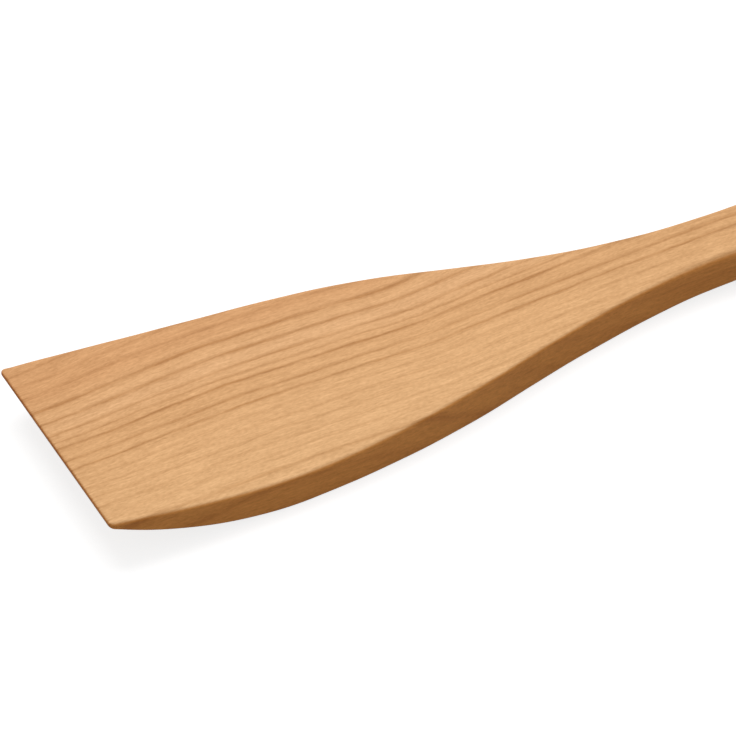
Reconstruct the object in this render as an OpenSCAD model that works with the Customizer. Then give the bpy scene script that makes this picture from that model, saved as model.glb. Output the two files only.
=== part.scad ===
// Wooden scraper with a turned-up blade, cut from one board.
//
// Frame: the origin is under the middle of the scraper, on the table.
// X runs from the scraping edge towards the end of the handle, Y is across, Z is up.
// The stations below are measured along X from the scraping edge.
// The board is built as its plan outline, followed all the way round with eased edges,
// and closed above and below by the two long curves of its side profile.

/* [Whole tool] */
// Length from the scraping edge to the end of the handle
tool_l = 300; // [270:5:360]
// Radius of the eased edges on the blade
blade_ease = 1.1; // [0.5:0.1:1.5]
// Radius of the rounder edges on the grip
grip_ease = 3; // [1:0.25:4]

/* [Blade outline] */
// Width across the scraping edge
front_w = 66.6; // [55:0.2:75]
// Width of the blade where it is widest
blade_w = 69; // [56:0.1:78]
// Distance from the scraping edge to the widest place
widest_x = 36; // [20:0.5:50]
// How much each side leans outward at the scraping edge, as a slope
flare = 0.07; // [0:0.01:0.1]
// Radius of the blade's two front corners, seen from above
corner_r = 1.6; // [0.5:0.1:4]

/* [Shoulder and neck] */
// Distance from the scraping edge to the middle of the shoulder
shoulder_x = 116; // [105:1:125]
// Width of the board at the middle of the shoulder
shoulder_w = 45; // [40:0.5:50]
// How fast each side closes in at the middle of the shoulder, as a slope
shoulder_slope = 0.305; // [0.2:0.005:0.34]
// Distance from the scraping edge to the narrowest place of the neck
neck_x = 187; // [175:1:205]
// Width of the neck
neck_w = 18.6; // [15:0.1:24]

/* [Handle] */
// Width of the grip where it is widest
grip_w = 23; // [20:0.5:28]
// Distance from the widest place of the grip to the end of the handle
grip_back = 34; // [30:1:45]
// Width of the handle where its round end begins
tip_w = 21; // [18:0.5:23]
// Distance from the scraping edge to where the edges begin to get rounder
ease_from = 150; // [120:5:170]
// Distance from the scraping edge to where the edges are as round as on the grip
ease_to = 230; // [200:5:250]
// Diameter of the hanging hole
hole_d = 6; // [4:0.5:8]
// Distance from the hanging hole's centre to the end of the handle
hole_back = 14; // [12:0.5:18]
// Width of the bevel round each mouth of the hanging hole
hole_bevel = 0.6; // [0.2:0.1:1]

/* [Side profile] */
// Thickness of the board from the heel to the end of the handle
board_t = 10.6; // [9:0.1:13]
// Thickness of the scraping edge
edge_t = 1.6; // [1:0.1:2]
// Radius of the arc by which the underside sweeps up to the scraping edge
sweep_r = 134; // [120:1:200]
// Length of that sweep along the table
sweep_l = 54; // [40:0.5:60]
// How steeply the top runs down behind the scraping edge, as a slope
dip_slope = 0.088; // [0.05:0.002:0.1]
// Distance from the scraping edge to the lowest place of the hollowed top
dip_x = 54; // [40:1:65]
// Thickness of the blade at that place
dip_t = 9.2; // [7:0.1:10]
// Distance from the scraping edge to the heel, where the blade has the board's thickness again
heel_x = 105; // [85:1:115]
// Distance from the scraping edge to where the board begins to bend up from the table
bend_x = 140; // [130:1:150]
// Length of that bend
bend_l = 20; // [15:5:60]
// Angle at which the handle rises behind the bend
handle_tilt = 2; // [0:0.1:5]

/* [Hidden] */

wood = "#DCAA78";

// Spacing of the stations along the board
blade_step = 3;
handle_step = 4;
// Number of steps round an eased edge, a front corner and the end of the handle
ease_n = 4;
corner_n = 4;
end_n = 12;
// Largest radius of an eased edge, as a share of the thickness there
thin_ease = 0.45;
// Facets of the round hole
hole_fn = 64;
// How far a cutter stands out of the surface that it cuts
cut = 1;
// Half of the stretch over which the slope of a side is measured
reach = 0.1;

grip_x = tool_l - grip_back;
end_r = tip_w / 2;
end_x = tool_l - end_r;

// One stretch of a curve from the place a to the place b, each given as [station, value, slope]
function stretch(x, a, b) =
    let (d = b[0] - a[0], u = (x - a[0]) / d)
    (2*u*u*u - 3*u*u + 1) * a[1] + (u*u*u - 2*u*u + u) * d * a[2]
    + (3*u*u - 2*u*u*u) * b[1] + (u*u*u - u*u) * d * b[2];

// Goes from 0 to 1 between two stations, without a kink at either
function blend(x, a, b) = let (u = min(max((x - a) / (b - a), 0), 1)) u * u * (3 - 2 * u);

// Half of the board's width at a station, without the rounding of its corners and end
function half_w(x) =
    let (
        front = [0, front_w / 2, flare],
        widest = [widest_x, blade_w / 2, 0],
        shoulder = [shoulder_x, shoulder_w / 2, -shoulder_slope],
        neck = [neck_x, neck_w / 2, 0],
        grip = [grip_x, grip_w / 2, 0],
        tip = [end_x, end_r, 0]
    )
    x < widest_x ? stretch(x, front, widest)
    : x < shoulder_x ? stretch(x, widest, shoulder)
    : x < neck_x ? stretch(x, shoulder, neck)
    : x < grip_x ? stretch(x, neck, grip)
    : stretch(min(x, end_x), grip, tip);

// How far the bend has lifted the board from the table: an arc, and a straight rise behind it
function lift_z(x) =
    let (behind = max(x - bend_x, 0), in_bend = min(behind, bend_l))
    tan(handle_tilt) * (in_bend * in_bend / (2 * bend_l) + behind - in_bend);

// Height of the underside: swept up to the scraping edge, flat on the table, then lifted by the bend
function under_z(x) =
    x < sweep_l ? sweep_r - sqrt(sweep_r * sweep_r - pow(sweep_l - x, 2)) : lift_z(x);

// Height of the top: down from the scraping edge into the hollow, up to the heel,
// and from there on level with the underside
function top_z(x) =
    let (
        front = [0, under_z(0) + edge_t, -dip_slope],
        dip = [dip_x, dip_t, 0],
        heel = [heel_x, board_t, 0]
    )
    x < dip_x ? stretch(x, front, dip)
    : x < heel_x ? stretch(x, dip, heel)
    : board_t + lift_z(x);

// Radius of the eased edges at a station: less where the blade is thin, more on the grip
function ease_r(x) =
    min(blade_ease + (grip_ease - blade_ease) * blend(x, ease_from, ease_to),
        thin_ease * (top_z(x) - under_z(x)));

// Far side of the plan outline, from the scraping edge to the end of the handle.
// Each entry is a point and the direction that faces into the wood there.
corner_y = half_w(corner_r) - corner_r;
front_corner = [for (i = [0:corner_n - 1]) let (a = 90 * i / corner_n)
    [corner_r - corner_r * cos(a), corner_y + corner_r * sin(a), cos(a), -sin(a)]];
function side_point(x) =
    let (s = (half_w(x + reach) - half_w(x - reach)) / (2 * reach), n = sqrt(1 + s * s))
    [x, half_w(x), s / n, -1 / n];
blade_side = [for (x = [corner_r:blade_step:neck_x - blade_step / 2]) side_point(x)];
handle_side = [for (x = [neck_x:handle_step:end_x - handle_step / 2]) side_point(x)];
round_end = [for (i = [0:end_n]) let (a = 90 * i / end_n)
    [end_x + end_r * sin(a), end_r * cos(a), -sin(a), -cos(a)]];
far_side = concat(front_corner, blade_side, handle_side, round_end);

// The whole outline as one loop: the far side, then its mirror image back to the scraping edge
side_n = len(far_side);
loop_n = 2 * side_n - 1;
function loop_point(k) =
    let (p = far_side[k < side_n ? k : loop_n - 1 - k], m = k < side_n ? 1 : -1)
    [p[0], m * p[1], p[2], m * p[3]];

// One point of the board's skin: k goes round the outline and j goes up the eased side
ring_n = 2 * (ease_n + 1);
function skin_point(k, j) =
    let (
        p = loop_point(k),
        r = ease_r(p[0]),
        low = j <= ease_n,
        a = 90 * (low ? j : ring_n - 1 - j) / ease_n,
        inward = r * (1 - sin(a)),
        x = p[0] + p[2] * inward,
        lift = r * (1 - cos(a)),
        z = low ? under_z(x) + lift : top_z(x) - lift
    )
    [x, p[1] + p[3] * inward, z];

module board() {
    points = [for (j = [0:ring_n - 1], k = [0:loop_n - 1]) skin_point(k, j)];
    top = (ring_n - 1) * loop_n;
    sides = [for (j = [0:ring_n - 2], k = [0:loop_n - 1]) let (a = j * loop_n, n = (k + 1) % loop_n)
        [a + k, a + n, a + n + loop_n, a + k + loop_n]];
    // The strips of the underside and the top join each point to its mirror image.
    // The last strip, at the end of the handle, is a triangle.
    underside = [for (k = [0:side_n - 2])
        k < side_n - 2 ? [k, loop_n - 1 - k, loop_n - 2 - k, k + 1] : [k, loop_n - 1 - k, k + 1]];
    upper_side = [for (k = [0:side_n - 2])
        k < side_n - 2 ? [top + k, top + k + 1, top + loop_n - 2 - k, top + loop_n - 1 - k]
        : [top + k, top + k + 1, top + loop_n - 1 - k]];
    polyhedron(points, concat(sides, underside, upper_side));
}

// The hanging hole, square to the handle, with a bevel at each mouth
module hanging_hole() {
    hole_x = tool_l - hole_back;
    half_t = board_t * cos(handle_tilt) / 2;
    bevel_h = hole_bevel + cut;
    translate([hole_x, 0, lift_z(hole_x) + board_t / 2])
    rotate([0, -handle_tilt, 0]) {
        cylinder(h = board_t + 2 * cut, d = hole_d, center = true, $fn = hole_fn);
        for (side = [0, 1])
            mirror([0, 0, side])
            translate([0, 0, half_t - hole_bevel])
            cylinder(h = bevel_h, d1 = hole_d, d2 = hole_d + 2 * bevel_h, $fn = hole_fn);
    }
}

module scraper() {
    color(wood)
    translate([-tool_l / 2, 0, 0])
    difference() {
        board();
        hanging_hole();
    }
}

scraper();
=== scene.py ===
# %% [markdown]
# # A wooden scraper, cut from one cherry board
#
# The real tool is a single board. A band saw cuts its outline and its side profile,
# a sander shapes the blade and eases every edge, and oil brings out the grain.
# So this lesson builds one skin round one board, and puts most of its work into the wood.
# The imported frame gives the board's place and size, and the skin is built to stay inside its
# box.

# %% Load the frame
import math
import bpy
import bmesh
from mathutils import Matrix, Vector


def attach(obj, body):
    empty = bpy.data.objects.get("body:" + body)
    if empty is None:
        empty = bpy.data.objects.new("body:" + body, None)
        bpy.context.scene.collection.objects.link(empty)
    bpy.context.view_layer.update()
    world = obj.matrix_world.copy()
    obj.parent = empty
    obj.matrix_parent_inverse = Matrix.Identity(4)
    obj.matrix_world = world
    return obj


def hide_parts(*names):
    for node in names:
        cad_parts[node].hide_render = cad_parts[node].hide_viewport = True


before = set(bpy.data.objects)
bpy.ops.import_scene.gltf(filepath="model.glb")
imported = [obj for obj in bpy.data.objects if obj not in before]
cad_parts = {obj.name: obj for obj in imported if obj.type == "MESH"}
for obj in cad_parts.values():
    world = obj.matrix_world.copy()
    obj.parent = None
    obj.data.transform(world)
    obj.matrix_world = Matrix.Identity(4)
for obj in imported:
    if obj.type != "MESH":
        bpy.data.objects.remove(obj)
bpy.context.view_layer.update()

MM = 0.001

# %% [markdown]
# ## The camera
#
# The scraper was photographed from about a metre away with a long lens, from the
# blade's near corner. A long lens keeps the two sides of the blade nearly parallel.
# The angles, the distance and the point in the middle of the picture set the whole view,
# so they are written as values and turned into a place and a rotation here.

# %% Place the camera
SIDE_ANGLE, HEIGHT_ANGLE = math.radians(27.45), math.radians(38.89)
AIM = Vector((-68.17, -8.38, 12.59)) * MM
DISTANCE = 950 * MM

back = Vector((-math.sin(SIDE_ANGLE) * math.cos(HEIGHT_ANGLE),
               -math.cos(SIDE_ANGLE) * math.cos(HEIGHT_ANGLE), math.sin(HEIGHT_ANGLE)))
camera_data = bpy.data.cameras.new("camera")
camera_data.sensor_width = 36
camera_data.lens = 186.5
camera = bpy.data.objects.new("camera", camera_data)
camera.location = AIM + back * DISTANCE
camera.rotation_mode = "QUATERNION"
camera.rotation_quaternion = (-back).to_track_quat("-Z", "Y")
bpy.context.scene.collection.objects.link(camera)
bpy.context.scene.camera = camera
print("camera stands at, in mm:", [round(v / MM) for v in camera.location])

# %% [markdown]
# ## Colours and nodes
#
# Colours are picked as sRGB hex values, but the renderer mixes linear light, so one function
# turns a hex value into linear numbers. A second small function adds a node with its settings
# and its links, which keeps the materials below short enough to read.

# %% Colour and node helpers
def linear(hex_code):
    channels = [int(hex_code[i:i + 2], 16) / 255 for i in (1, 3, 5)]
    return [c / 12.92 if c <= 0.04045 else ((c + 0.055) / 1.055) ** 2.4 for c in channels] + [1]


def add(tree, kind, settings=None, inputs=None):
    made = tree.nodes.new(kind)
    for name, value in (settings or {}).items():
        setattr(made, name, value)
    for name, value in (inputs or {}).items():
        if isinstance(value, bpy.types.NodeSocket):
            tree.links.new(value, made.inputs[name])
        else:
            made.inputs[name].default_value = value
    return made


def new_material(name):
    material = bpy.data.materials.new(name)
    material.use_nodes = True
    material.node_tree.nodes.clear()
    return material, material.node_tree


print("pale cherry in linear light:", [round(c, 3) for c in linear("#DCAA78")[:3]])

# %% [markdown]
# ## Floor and backdrop
#
# The tool lies on a matt white sweep, as in a catalogue picture. White card next to a
# small object throws a lot of light up at its sides. A grey one keeps the sides of the board
# deep, so the floor is mid grey to the light, and only the camera, mirror-like reflections
# and rays through clear things see it as white. The object's soft shadow stays on it.

# %% Make the floor
floor_mesh = bpy.data.meshes.new("floor")
HALF_FLOOR = 4.0
corners = [(x * HALF_FLOOR, y * HALF_FLOOR, 0) for x, y in ((-1, -1), (1, -1), (1, 1), (-1, 1))]
floor_mesh.from_pydata(corners, [], [(0, 1, 2, 3)])
floor = bpy.data.objects.new("floor", floor_mesh)
bpy.context.scene.collection.objects.link(floor)

card, tree = new_material("matt_card")
path = add(tree, "ShaderNodeLightPath")
seen = add(tree, "ShaderNodeMath", {"operation": "MAXIMUM"},
           {0: path.outputs["Is Camera Ray"], 1: path.outputs["Is Glossy Ray"]})
seen = add(tree, "ShaderNodeMath", {"operation": "MAXIMUM"},
           {0: seen.outputs[0], 1: path.outputs["Is Transmission Ray"]})
# The grey card sends back a good part of white by itself, and this lift adds the rest.
lift = add(tree, "ShaderNodeMath", {"operation": "MULTIPLY"}, {0: seen.outputs[0], 1: 0.8})
matt = add(tree, "ShaderNodeBsdfDiffuse", inputs={"Color": linear("#A0A0A0")})
glow = add(tree, "ShaderNodeEmission",
           inputs={"Color": (1, 1, 1, 1), "Strength": lift.outputs[0]})
both = add(tree, "ShaderNodeAddShader", inputs={0: matt.outputs[0], 1: glow.outputs[0]})
add(tree, "ShaderNodeOutputMaterial", inputs={"Surface": both.outputs[0]})
floor_mesh.materials.append(card)
print("floor is", 2 * HALF_FLOOR, "m wide")

# %% [markdown]
# ## Light
#
# Matt wood shows its grain best in broad soft light. A large softbox hangs above and behind
# the tool, so that the flat top is bright, with a faint sheen, while the side
# that faces the camera falls into soft shade. The white room fills that shade a little.

# %% Make the lights
world = bpy.data.worlds.new("white_room")
bpy.context.scene.world = world
world.use_nodes = True
world.node_tree.nodes.clear()
tree = world.node_tree
path = add(tree, "ShaderNodeLightPath")
room = add(tree, "ShaderNodeBackground", inputs={"Color": linear("#FFFFFF"), "Strength": 0.41})
white = add(tree, "ShaderNodeBackground", inputs={"Color": (1, 1, 1, 1), "Strength": 1})
mixed = add(tree, "ShaderNodeMixShader", inputs={0: path.outputs["Is Camera Ray"],
                                                 1: room.outputs[0], 2: white.outputs[0]})
add(tree, "ShaderNodeOutputWorld", inputs={"Surface": mixed.outputs[0]})


def softbox(name, place, target, size, power):
    data = bpy.data.lights.new(name, "AREA")
    data.shape, data.size, data.size_y = "RECTANGLE", size[0], size[1]
    data.energy = power
    lamp = bpy.data.objects.new(name, data)
    lamp.location = place
    lamp.rotation_mode = "QUATERNION"
    lamp.rotation_quaternion = (Vector(target) - Vector(place)).to_track_quat("-Z", "Y")
    bpy.context.scene.collection.objects.link(lamp)
    return lamp


softbox("softbox_above", (0.15, 0.55, 1.25), (-0.05, 0, 0), (1.3, 1.0), 15.9)

# %% [markdown]
# ## The board's outline and profile
#
# A maker draws two lines on the board: the outline on its face and the profile on its edge.
# Both are drawn here as smooth curves through a few marked places. Distances are in
# millimetres from the scraping edge. Writing the curves as functions means that
# the skin can ask for the width and the height at any place.

# %% Draw the outline
def curve(x, marks):
    """Smooth curve through marks, each (place, value, slope)."""
    for a, b in zip(marks, marks[1:]):
        if x <= b[0] or b is marks[-1]:
            span = b[0] - a[0]
            u = min(max((x - a[0]) / span, 0), 1)
            return ((2 * u**3 - 3 * u**2 + 1) * a[1] + (u**3 - 2 * u**2 + u) * span * a[2]
                    + (3 * u**2 - 2 * u**3) * b[1] + (u**3 - u**2) * span * b[2])


LENGTH, END_RADIUS, CORNER_RADIUS = 300, 10.5, 1.6
OUTLINE = [(0, 33.3, 0.07), (36, 34.5, 0), (116, 22.5, -0.305), (187, 9.3, 0),
           (266, 11.5, 0), (LENGTH - END_RADIUS, END_RADIUS, 0)]


def half_width(x):
    return curve(x, OUTLINE)


print("half width at blade, neck and grip:",
      [round(half_width(x), 2) for x in (36, 187, 266)])

# %% Draw the side profile
BOARD, EDGE = 10.6, 1.6
SWEEP_RADIUS, SWEEP = 134, 54
BEND_AT, BEND_LENGTH, RISE = 140, 20, math.tan(math.radians(2))


def lifted(x):
    behind = max(x - BEND_AT, 0)
    in_bend = min(behind, BEND_LENGTH)
    return RISE * (in_bend**2 / (2 * BEND_LENGTH) + behind - in_bend)


def underside(x):
    if x < SWEEP:
        return SWEEP_RADIUS - math.sqrt(SWEEP_RADIUS**2 - (SWEEP - x)**2)
    return lifted(x)


TOP = [(0, underside(0) + EDGE, -0.088), (54, 9.2, 0), (105, BOARD, 0)]


def top(x):
    return curve(x, TOP) + lifted(x)


print("thickness at 0, 54 and 150:",
      [round(top(x) - underside(x), 2) for x in (0, 54, 150)])

# %% [markdown]
# ## Eased edges
#
# Sandpaper held in the hand never takes off exactly the same amount. So the radius of the
# eased edge wanders a little along the tool. It starts at about a millimetre on the blade
# and grows towards the grip, where a hand would feel a sharp corner.

# %% Set the edge radius
BLADE_EASE, GRIP_EASE, GROWS_FROM, GROWS_FOR = 1.1, 3.0, 150, 80
THIN_EASE = 0.45  # largest radius, as a share of the thickness there


def edge_radius(x, side):
    grow = min(max((x - GROWS_FROM) / GROWS_FOR, 0), 1)
    radius = BLADE_EASE + (GRIP_EASE - BLADE_EASE) * grow * grow * (3 - 2 * grow)
    radius *= 1 + 0.08 * math.sin(x / 17 + side) + 0.04 * math.sin(x / 3.1 + 2 * side)
    return min(radius, THIN_EASE * (top(x) - underside(x)))


print("edge radius on blade and grip:", [round(edge_radius(x, 1), 2) for x in (60, 260)])

# %% [markdown]
# ## The skin
#
# Real boards have two faces and a rim. The skin follows that: a rim of quads runs all round
# the outline and over both eased edges, and each face is a grid that joins a point
# of the rim to its mirror image across the board. A grid, rather than one big face, lets
# the faces follow the hollow of the blade and carry the small unevenness of hand sanding.

# %% Walk round the outline
BLADE_STEP, HANDLE_STEP, HANDLE_FROM = 1.5, 2.0, 190
CORNER_STEPS, END_STEPS, EASE_STEPS, COLUMNS = 6, 24, 7, 26


def rim_point(x):
    """Place on the far outline, and the direction that faces into the wood there."""
    slope = (half_width(x + 0.05) - half_width(x - 0.05)) / 0.1
    length = math.hypot(1, slope)
    return x, half_width(x), slope / length, -1 / length


def frange(start, stop, step):
    count = max(1, round((stop - start) / step))
    return [start + (stop - start) * i / count for i in range(count)]


corner_middle = half_width(CORNER_RADIUS) - CORNER_RADIUS
far_rim = []
for i in range(CORNER_STEPS):
    a = math.radians(90 * i / CORNER_STEPS)
    far_rim.append((CORNER_RADIUS * (1 - math.cos(a)),
                    corner_middle + CORNER_RADIUS * math.sin(a), math.cos(a), -math.sin(a)))
round_starts = LENGTH - END_RADIUS
far_rim += [rim_point(x) for x in frange(CORNER_RADIUS, HANDLE_FROM, BLADE_STEP)]
far_rim += [rim_point(x) for x in frange(HANDLE_FROM, round_starts, HANDLE_STEP)]
for i in range(END_STEPS + 1):
    a = math.radians(90 * i / END_STEPS)
    far_rim.append((round_starts + END_RADIUS * math.sin(a), END_RADIUS * math.cos(a),
                    -math.sin(a), -math.cos(a)))
near_rim = [(x, -y, nx, -ny) for x, y, nx, ny in reversed(far_rim[:-1])]
# The scraping edge closes the loop, in as many steps as each face has columns.
front_rim = [(0, corner_middle * (2 * c / COLUMNS - 1), 1, 0) for c in range(1, COLUMNS)]
rim = far_rim + near_rim + front_rim
print(len(rim), "points round the outline")

# %% Raise the rim into a skin
def unevenness(x, y):
    """Depth of the shallow hollows that hand sanding leaves, in mm: at most 0.08."""
    return 0.02 * (2 + math.sin(x / 9.1 + y / 7.3) + math.sin(x / 5.3 - y / 4.1 + 1))


def skin_point(outline_point, step, upper):
    x, y, nx, ny = outline_point
    a = math.radians(90 * step / EASE_STEPS)
    radius = edge_radius(x, 1 if y > 0 else 4)
    inward, rise = radius * (1 - math.sin(a)), radius * (1 - math.cos(a))
    x, y = x + nx * inward, y + ny * inward
    return (x, y, top(x) - rise) if upper else (x, y, underside(x) + rise)


def vertex(point):
    x, y, z = point
    return bm.verts.new(((x - LENGTH / 2) * MM, y * MM, z * MM))


bm = bmesh.new()
rows = [[vertex(skin_point(p, j, False)) for p in rim] for j in range(EASE_STEPS + 1)]
rows += [[vertex(skin_point(p, j, True)) for p in rim] for j in range(EASE_STEPS, -1, -1)]
for low, high in zip(rows, rows[1:]):
    for i in range(len(rim)):
        n = (i + 1) % len(rim)
        bm.faces.new((low[i], low[n], high[n], high[i]))
print(len(bm.faces), "faces in the rim")

# %% Fill the two faces with grids
def fill_face(row, height_at, sign):
    """Joins a row to its mirror image. The unevenness fades out towards the rim."""
    last = len(far_rim) - 1
    previous = [row[-c] for c in range(COLUMNS)] + [row[2 * last]]
    for i in range(1, last):
        a, b = row[i], row[2 * last - i]
        line = [a]
        for c in range(1, COLUMNS):
            p = a.co.lerp(b.co, c / COLUMNS)
            x, y = p.x / MM + LENGTH / 2, p.y / MM
            from_rim = min(c, COLUMNS - c, max(x - 1, 0) / 2) / 3
            z = height_at(x) + sign * unevenness(x, y) * min(from_rim, 1)
            line.append(vertex((x, y, z)))
        line.append(b)
        for q in range(COLUMNS):
            bm.faces.new((previous[q], previous[q + 1], line[q + 1], line[q]))
        previous = line
    for q in range(COLUMNS):
        bm.faces.new((previous[q], previous[q + 1], row[last]))


fill_face(rows[0], underside, 1)
fill_face(rows[-1], top, -1)
bmesh.ops.recalc_face_normals(bm, faces=bm.faces)
board_mesh = bpy.data.meshes.new("scraper_wood")
bm.to_mesh(board_mesh)
bm.free()
board = bpy.data.objects.new("scraper_wood", board_mesh)
bpy.context.scene.collection.objects.link(board)
print(len(board_mesh.polygons), "faces in the skin")

# %% [markdown]
# ## The hanging hole
#
# A hole for a hook is drilled square to the handle, and each mouth is eased with a
# countersink and a turn of sandpaper. It could be modelled into the grid, but a cutter
# turned like a little bobbin is simpler: narrow in the middle, flaring at both ends.

# %% Drill the hole
HOLE_RADIUS, HOLE_FROM_END, MOUTH, PAST = 3, 14, 0.6, 0.6
MOUTH_STEPS, SIDES = 4, 64
hole_x = LENGTH - HOLE_FROM_END
tilt = math.atan(RISE)
half_board = BOARD * math.cos(tilt) / 2
bobbin = [(HOLE_RADIUS, half_board - MOUTH)]
for i in range(1, MOUTH_STEPS + 1):
    a = math.radians(70 * i / MOUTH_STEPS)
    bobbin.append((HOLE_RADIUS + MOUTH * (1 - math.cos(a)),
                   half_board - MOUTH + MOUTH * math.sin(a)))
bobbin.append((HOLE_RADIUS + MOUTH + PAST, half_board + PAST))
turned = [(r, -z) for r, z in reversed(bobbin)] + bobbin

bm = bmesh.new()
turns = [2 * math.pi * k / SIDES for k in range(SIDES)]
rings = [[bm.verts.new((r * math.cos(t), r * math.sin(t), z)) for t in turns]
         for r, z in turned]
for low, high in zip(rings, rings[1:]):
    for k in range(SIDES):
        bm.faces.new((low[k], low[(k + 1) % SIDES], high[(k + 1) % SIDES], high[k]))
bm.faces.new(list(reversed(rings[0])))
bm.faces.new(rings[-1])
middle = ((hole_x - LENGTH / 2) * MM, 0, (lifted(hole_x) + BOARD / 2) * MM)
bm.transform(Matrix.Translation(middle) @ Matrix.Rotation(-tilt, 4, "Y") @ Matrix.Scale(MM, 4))
bmesh.ops.recalc_face_normals(bm, faces=bm.faces)
drill_mesh = bpy.data.meshes.new("drill")
bm.to_mesh(drill_mesh)
bm.free()
drill = bpy.data.objects.new("drill", drill_mesh)
bpy.context.scene.collection.objects.link(drill)

cut = board.modifiers.new("hanging_hole", "BOOLEAN")
cut.operation, cut.solver, cut.object = "DIFFERENCE", "EXACT", drill
graph = bpy.context.evaluated_depsgraph_get()
drilled = bpy.data.meshes.new_from_object(board.evaluated_get(graph))
board.modifiers.clear()
board.data = drilled
bpy.data.objects.remove(drill)

# %% Clean and smooth the skin
# The cut can leave points almost on top of each other, so those are merged.
bm = bmesh.new()
bm.from_mesh(board.data)
bmesh.ops.remove_doubles(bm, verts=bm.verts, dist=0.002 * MM)
open_edges = sum(1 for e in bm.edges if not e.is_manifold)
volume = bm.calc_volume() / MM**3
bm.to_mesh(board.data)
bm.free()
board.data.name = "scraper_wood"
for face in board.data.polygons:
    face.use_smooth = True
even = board.modifiers.new("even_faces", "WEIGHTED_NORMAL")
even.weight, even.keep_sharp = 60, False
print("open edges:", open_edges, " wood, in cubic cm:", round(volume / 1000, 1))

# %% [markdown]
# ## The wood: where a point lies in the tree
#
# Cherry is a pale pinkish brown wood with fine, soft growth lines. They run along the
# board and bow gently where the trunk bent. A flat picture of wood would smear on the
# sides of the board, so the pattern is built in three dimensions: every point of the board
# is given a place in the tree, and the lines on the top carry on down the sides.
# All of it is measured in millimetres from the scraping edge.

# %% Set up the wood's coordinates
cherry, tree = new_material("oiled_cherry")


def trace(mapping, points, corner="AUTO"):
    """Puts points on the first curve of a curve mapping."""
    line = mapping.curves[0]
    while len(line.points) < len(points):
        line.points.new(0.5, 0.5)
    for point, (x, y) in zip(line.points, points):
        point.location, point.handle_type = (x, y), corner
    mapping.update()


object_coords = add(tree, "ShaderNodeTexCoord")
in_board = add(tree, "ShaderNodeVectorMath", {"operation": "MULTIPLY_ADD"},
               {0: object_coords.outputs["Object"], 1: (1000, 1000, 1000),
                2: (LENGTH / 2, 0, 0)})
axes = add(tree, "ShaderNodeSeparateXYZ", inputs={0: in_board.outputs[0]})
along, across, height = axes.outputs
print("wood coordinates run from 0 to", LENGTH, "mm along the board")

# %% Bow the growth lines
# How far the lines have swung across the board, in mm, at places along it, in mm.
SWAY = [(0, -6), (12, -4.5), (25, -2.5), (38, -1), (50, 0), (85, 0), (100, -0.5),
        (112, 0.5), (125, 2), (150, 4), (190, 6), (300, 8)]
SWAY_SPAN = 20  # the curve's 0 to 1 stands for -10 to 10 mm
share = add(tree, "ShaderNodeMath", {"operation": "DIVIDE"}, {0: along, 1: LENGTH})
swing = add(tree, "ShaderNodeFloatCurve", inputs={"Value": share.outputs[0]})
trace(swing.mapping, [(x / LENGTH, s / SWAY_SPAN + 0.5) for x, s in SWAY])
sway = add(tree, "ShaderNodeMath", {"operation": "MULTIPLY_ADD"},
           {0: swing.outputs[0], 1: SWAY_SPAN, 2: -SWAY_SPAN / 2})
# The lines fan out a little towards the far side of the blade.
fan = add(tree, "ShaderNodeMath", {"operation": "MULTIPLY_ADD"}, {0: across, 1: 0.012, 2: 1})
bowed = add(tree, "ShaderNodeMath", {"operation": "MULTIPLY"},
            {0: sway.outputs[0], 1: fan.outputs[0]})
flat = add(tree, "ShaderNodeMath", {"operation": "SUBTRACT"},
           {0: across, 1: bowed.outputs[0]})
# The growth layers lean, so a line on the top comes out further over at each depth.
# FACE is the usual height of the blade's top: the lines stand in their places there.
LEAN, FACE = 0.55, 9.35
leaning = add(tree, "ShaderNodeMath", {"operation": "MULTIPLY_ADD"},
              {0: height, 1: LEAN, 2: -LEAN * FACE})
layer = add(tree, "ShaderNodeMath", {"operation": "ADD"},
            {0: flat.outputs[0], 1: leaning.outputs[0]})
print("growth lines swing from", SWAY[0][1], "to", SWAY[-1][1], "mm along the board")

# %% Make the lines waver
# Slow waves 40 mm long, and a quick tremble 6 mm long. Noise averages 0.5, so half of both
# heights is taken off again.
SLOW_HEIGHT, QUICK_HEIGHT = 1.2, 0.8
wide = add(tree, "ShaderNodeVectorMath", {"operation": "MULTIPLY"},
           {0: in_board.outputs[0], 1: (1 / 40, 1 / 9, 1 / 9)})
slow = add(tree, "ShaderNodeTexNoise",
           inputs={"Vector": wide.outputs[0], "Scale": 1, "Detail": 1})
tight = add(tree, "ShaderNodeVectorMath", {"operation": "MULTIPLY"},
            {0: in_board.outputs[0], 1: (1 / 6, 1 / 1.6, 1 / 1.6)})
quick = add(tree, "ShaderNodeTexNoise",
            inputs={"Vector": tight.outputs[0], "Scale": 1, "Detail": 2})
waver = add(tree, "ShaderNodeMath", {"operation": "MULTIPLY_ADD"},
            {0: slow.outputs[0], 1: SLOW_HEIGHT, 2: layer.outputs[0]})
waver = add(tree, "ShaderNodeMath", {"operation": "MULTIPLY_ADD"},
            {0: quick.outputs[0], 1: QUICK_HEIGHT, 2: waver.outputs[0]})
depth = add(tree, "ShaderNodeMath", {"operation": "SUBTRACT"},
            {0: waver.outputs[0], 1: (SLOW_HEIGHT + QUICK_HEIGHT) / 2})
in_tree = add(tree, "ShaderNodeCombineXYZ", inputs={0: along, 1: depth.outputs[0], 2: height})
print("slow waves within", SLOW_HEIGHT, "mm, quick tremble within", QUICK_HEIGHT, "mm")

# %% [markdown]
# ## The wood: growth lines
#
# Each year the tree adds a pale layer and closes it with a thin darker one. Good years
# are wide and poor years narrow. One curve turns the place across the board into a count of
# years, so the lines can stand where they stand on this board. A second curve
# shapes the dark line within each year, and a third says how strong each year's line is.

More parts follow.
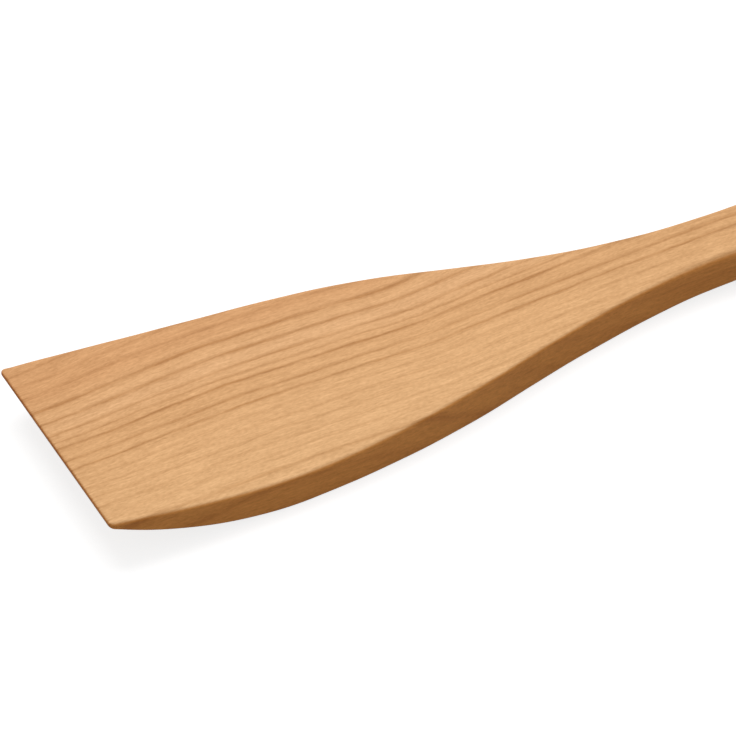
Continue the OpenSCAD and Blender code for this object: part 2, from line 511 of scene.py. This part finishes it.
# %% Count the years
# Place of each dark line across the board, in mm, and its strength from 0 to 1.
YEARS = [(-50, .3), (-45, .4), (-40, .3), (-34.5, .4), (-29.5, .6), (-24, .25), (-20, .3),
         (-16, .3), (-12, .35), (-8, .2), (-3.5, .85), (0, .85), (5.5, 1), (8, .6),
         (11, .75), (16.5, .9), (22, 1), (28.5, .5), (33.5, .4), (39, .5), (45, .4)]
LOW, HIGH = YEARS[0][0], YEARS[-1][0]
place_in_board = add(tree, "ShaderNodeMapRange", {"clamp": False},
                     {"Value": depth.outputs[0], "From Min": LOW, "From Max": HIGH})
calendar = add(tree, "ShaderNodeFloatCurve", inputs={"Value": place_in_board.outputs[0]})
trace(calendar.mapping, [((c - LOW) / (HIGH - LOW), i / (len(YEARS) - 1))
                         for i, (c, s) in enumerate(YEARS)], "VECTOR")
years = add(tree, "ShaderNodeMath", {"operation": "MULTIPLY"},
            {0: calendar.outputs[0], 1: len(YEARS) - 1})
half_later = add(tree, "ShaderNodeMath", {"operation": "ADD"}, {0: years.outputs[0], 1: 0.5})
season = add(tree, "ShaderNodeMath", {"operation": "FRACT"}, {0: half_later.outputs[0]})
late_wood = add(tree, "ShaderNodeFloatCurve", inputs={"Value": season.outputs[0]})
trace(late_wood.mapping, [(0, 0.06), (0.2, 0.1), (0.34, 0.28), (0.43, 0.75), (0.5, 1),
                          (0.56, 0.8), (0.66, 0.3), (0.8, 0.04), (1, 0.06)])
strength = add(tree, "ShaderNodeFloatCurve", inputs={"Value": place_in_board.outputs[0]})
trace(strength.mapping, [((c - LOW) / (HIGH - LOW), s) for c, s in YEARS])
print(len(YEARS), "growth lines between", LOW, "and", HIGH, "mm")

# %% Let the lines fade and return
stretched = add(tree, "ShaderNodeVectorMath", {"operation": "MULTIPLY"},
                {0: in_tree.outputs[0], 1: (1 / 16, 1 / 2.4, 1 / 2.4)})
fade = add(tree, "ShaderNodeTexNoise",
           inputs={"Vector": stretched.outputs[0], "Scale": 1, "Detail": 2})
FAINT, FULL = 0.5, 1.3
ink = add(tree, "ShaderNodeMapRange", inputs={"Value": fade.outputs[0], "From Min": 0.3,
                                              "From Max": 0.7, "To Min": FAINT, "To Max": FULL})
line = add(tree, "ShaderNodeMath", {"operation": "MULTIPLY"},
           {0: late_wood.outputs[0], 1: strength.outputs[0]})
line = add(tree, "ShaderNodeMath", {"operation": "MULTIPLY"},
           {0: line.outputs[0], 1: ink.outputs[0]})
print("a line's strength goes from", FAINT, "to", FULL, "of its own")

# %% [markdown]
# ## The wood: fibres, flecks and clouds
#
# Between the lines the wood isn't plain. Its fibres are a few tenths of a millimetre
# thick and many millimetres long, so they show as fine streaks along the grain. Short rays
# glint across them as tiny flecks, and the colour drifts in soft clouds. Real pores
# are 0.05 mm wide, too fine for this picture, so the fibres are drawn 0.5 mm wide.

# %% Draw fibres and flecks
def grain_noise(length, width, detail):
    scaled = add(tree, "ShaderNodeVectorMath", {"operation": "MULTIPLY"},
                 {0: in_tree.outputs[0], 1: (1 / length, 1 / width, 1 / width)})
    return add(tree, "ShaderNodeTexNoise", inputs={"Vector": scaled.outputs[0], "Scale": 1,
                                                   "Detail": detail}).outputs[0]


# Length along the grain and width across it, both in mm, and the fineness of the noise.
lamella = grain_noise(60, 0.9, 1)
streak = grain_noise(18, 1.3, 2)
fibre = grain_noise(6, 0.5, 2)
fleck = grain_noise(1.2, 0.5, 1)
cloud = grain_noise(14, 5, 2)
# Painted shade along the board: a little deeper at the front and in the handle.
shade_along_board = add(tree, "ShaderNodeFloatCurve", inputs={"Value": share.outputs[0]})
trace(shade_along_board.mapping, [(0, 0.45), (0.2, 0.5), (0.4, 0.49), (0.63, 0.41), (1, 0.43)])
GRAIN = ((cloud, 0.20), (lamella, 0.28), (streak, 0.32), (fibre, 0.60), (fleck, 0.60),
         (shade_along_board.outputs[0], 1))
# Each part averages 0.5. The sum starts where it comes out at 0.5 as well.
# The sum carries the grain and the painted shade along the board.
grain_and_shade = 0.5 - sum(weight for noise, weight in GRAIN) / 2
for noise, weight in GRAIN:
    grain_and_shade = add(tree, "ShaderNodeMath", {"operation": "MULTIPLY_ADD"},
               {0: noise, 1: weight, 2: grain_and_shade}).outputs[0]
print("weights of clouds, lamellae, streaks, fibres, flecks, drift:", [w for n, w in GRAIN])

# %% [markdown]
# ## The wood: colour
#
# The body colour of cherry drifts across the board, and painted shade makes it a little
# deeper on the far side. The dark lines are a warmer brown of the same wood, so they darken blue
# most.
# Oil soaks deeper into the end grain than into the faces, and leaves it a richer brown.
# The sides are painted a darker, richer brown as painted shade. The direction that the surface
# faces tells them apart.
# So the body is a ramp of hex colours, and each of the others is a tint: a factor
# for the red, green and blue of the wood under it, in linear light.

# %% Mix the colours
# A Mix node for colours takes its factor in socket 0 and the two colours in 6 and 7,
# and gives the result in socket 2.
# The second tint is painted shade for the sides; the first and the last are the wood's own.
LATE_WOOD, SIDE_SHADE_TINT, END_GRAIN = (0.70, 0.59, 0.43, 1), (1.0, 0.71, 0.37, 1), (0.72, 0.66, 0.6, 1)
DEEP_TONE, PALE_TONE = (0.72, 0.65, 0.54, 1), (1.28, 1.35, 1.46, 1)
# The ramp is the wood's own tone across the board, with painted shade on the far side.
body = add(tree, "ShaderNodeValToRGB", inputs={"Fac": place_in_board.outputs[0]})
BODY_TONE_AND_SHADE = [(-50, "#DDAA75"), (-31, "#DFAE79"), (-15, "#DEAC77"), (-3, "#DBA873"), (5, "#D9A570"),
        (14, "#DFAC79"), (20, "#DBA773"), (27, "#D59E6A"), (45, "#D59E6A")]
while len(body.color_ramp.elements) < len(BODY_TONE_AND_SHADE):
    body.color_ramp.elements.new(0.5)
for stop, (c, hex_code) in zip(body.color_ramp.elements, BODY_TONE_AND_SHADE):
    stop.position, stop.color = (c - LOW) / (HIGH - LOW), linear(hex_code)
lined = add(tree, "ShaderNodeMix", {"data_type": "RGBA", "blend_type": "MULTIPLY"},
            {0: line.outputs[0], 6: body.outputs[0], 7: LATE_WOOD})
shade = add(tree, "ShaderNodeMix", {"data_type": "RGBA", "clamp_factor": False},
            {0: grain_and_shade, 6: DEEP_TONE, 7: PALE_TONE})
toned = add(tree, "ShaderNodeVectorMath", {"operation": "MULTIPLY"},
            {0: lined.outputs[2], 1: shade.outputs[2]})
print(len(BODY_TONE_AND_SHADE), "body colours, from", BODY_TONE_AND_SHADE[0][1], "to", BODY_TONE_AND_SHADE[-1][1])

# %% Paint shade on the sides and deepen the end grain
facing = add(tree, "ShaderNodeNewGeometry")
turned_to = add(tree, "ShaderNodeSeparateXYZ", inputs={0: facing.outputs["Normal"]})
upright = add(tree, "ShaderNodeMath", {"operation": "ABSOLUTE"}, {0: turned_to.outputs[2]})
# Painted shade: the more a surface faces sideways, the darker and richer brown it is painted.
side_shade_mask = add(tree, "ShaderNodeMapRange", {"interpolation_type": "SMOOTHSTEP"},
           {"Value": upright.outputs[0], "From Min": 0.5, "From Max": 0.96,
            "To Min": 1, "To Max": 0})
side_shaded = add(tree, "ShaderNodeMix", {"data_type": "RGBA", "blend_type": "MULTIPLY"},
            {0: side_shade_mask.outputs[0], 6: toned.outputs[0], 7: SIDE_SHADE_TINT})
endways = add(tree, "ShaderNodeMath", {"operation": "ABSOLUTE"}, {0: turned_to.outputs[0]})
end_grain = add(tree, "ShaderNodeMapRange", {"interpolation_type": "SMOOTHSTEP"},
                {"Value": endways.outputs[0], "From Min": 0.55, "From Max": 0.95})
colour = add(tree, "ShaderNodeMix", {"data_type": "RGBA", "blend_type": "MULTIPLY"},
             {0: end_grain.outputs[0], 6: side_shaded.outputs[2], 7: END_GRAIN})
print("tints of the sides and the end:", SIDE_SHADE_TINT[:3], END_GRAIN[:3])

# %% [markdown]
# ## The wood: surface
#
# Oil fills the pores and is wiped off, so the surface is nearly matt, with a soft broad
# sheen. Its IOR is that of oil and wood, about 1.5, and open fibres swallow about half of
# the shine, so the specular level is low. Fine sanding leaves the fibres standing a few
# hundredths of a millimetre proud, and the hard dark lines a touch smoother.

# %% Finish the surface
relief = grain_noise(5, 0.35, 2)
ridge = add(tree, "ShaderNodeMath", {"operation": "MULTIPLY_ADD"},
            {0: line.outputs[0], 1: 0.3, 2: relief})
bump = add(tree, "ShaderNodeBump", inputs={"Height": ridge.outputs[0], "Distance": 0.03 * MM,
                                           "Strength": 1})
sheen = add(tree, "ShaderNodeMapRange", inputs={"Value": line.outputs[0], "To Min": 0.64,
                                                "To Max": 0.54})
wood = add(tree, "ShaderNodeBsdfPrincipled",
           inputs={"Base Color": colour.outputs[2], "Roughness": sheen.outputs[0],
                   "IOR": 1.5, "Specular IOR Level": 0.22, "Normal": bump.outputs[0]})
add(tree, "ShaderNodeOutputMaterial", inputs={"Surface": wood.outputs[0]})
board.data.materials.clear()
board.data.materials.append(cherry)
print(len(tree.nodes), "nodes in", cherry.name)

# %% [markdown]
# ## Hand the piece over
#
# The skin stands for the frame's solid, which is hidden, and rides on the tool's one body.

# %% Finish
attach(board, "root")
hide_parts("scraper")
scene = bpy.context.scene
scene.view_settings.view_transform = "Standard"
